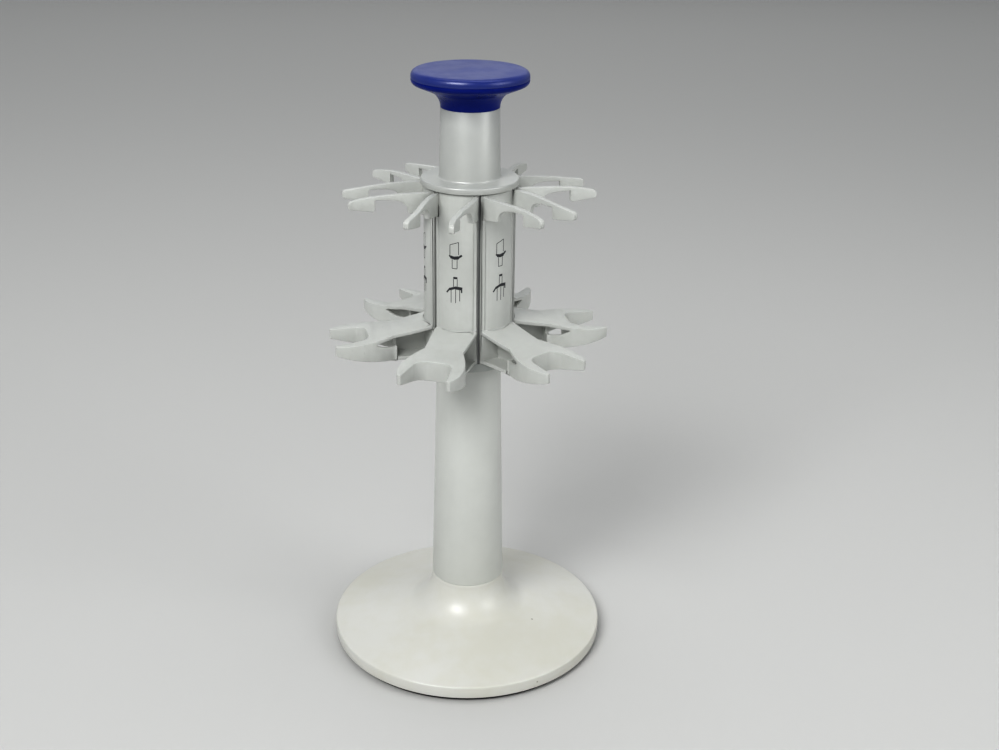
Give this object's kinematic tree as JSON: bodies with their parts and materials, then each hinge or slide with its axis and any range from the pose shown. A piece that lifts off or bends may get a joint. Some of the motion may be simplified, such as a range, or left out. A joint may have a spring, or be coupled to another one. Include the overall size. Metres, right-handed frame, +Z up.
{
  "type": "pipette carousel stand",
  "caption": "Free-standing rotary stand: weighted conical foot, tapered column and a turning ring of hooked holders with forked arms and notched claw brackets, under a flared grip knob.",
  "frame": {"origin": "centre of the foot, on the surface that the stand rests on", "axes": "+Z up, along the axis that the carousel turns on; the foot is round, and +X and +Y are level, with +Y pointing away from the viewer of the picture"},
  "size_m": [0.185, 0.185, 0.3929],
  "materials": {
    "foot_rubber": "matt black",
    "foot_shell": "pearl white, semi-gloss",
    "ballast_steel": "plain mild steel",
    "cover_plastic": "dark grey, fine texture",
    "fastener_steel": "zinc plated",
    "column_satin": "satin silver",
    "inner_plastic": "dark grey",
    "spindle_steel": "ground",
    "washer_plastic": "natural low-friction plastic",
    "bush_metal": "sintered bronze",
    "core_plastic": "black",
    "collar_plastic": "light grey, satin",
    "holder_plastic": "light grey-white, satin",
    "knob_plastic": "royal blue, satin"
  },
  "bodies": {
    "stand": {"foot_ring": "foot_rubber", "base_shell": "foot_shell", "ballast": "ballast_steel", "cover_plate": "cover_plastic", "plate_screws": "fastener_steel", "column": "column_satin", "column_head": "inner_plastic", "spindle": "spindle_steel", "spindle_washers": "fastener_steel", "spindle_nuts": "fastener_steel", "thrust_washer": "washer_plastic"},
    "carousel": {"lower_bush": "bush_metal", "upper_bush": "bush_metal", "hub_core": "core_plastic", "hub_collar": "collar_plastic", "collar_screws": "fastener_steel", "holder_1": "holder_plastic", "holder_2": "holder_plastic", "holder_3": "holder_plastic", "holder_4": "holder_plastic", "holder_5": "holder_plastic", "holder_6": "holder_plastic", "grip_tube": "column_satin", "cap_screws": "fastener_steel", "tube_plug": "inner_plastic", "knob_stem": "knob_plastic", "knob_screw": "fastener_steel", "knob_cap": "knob_plastic"}
  },
  "joints": [
    {"name": "carousel_turn", "type": "hinge", "parent": "stand", "child": "carousel", "pos_m": [0, 0, 0.21], "axis": [0, 0, 1], "continuous": true}
  ]
}
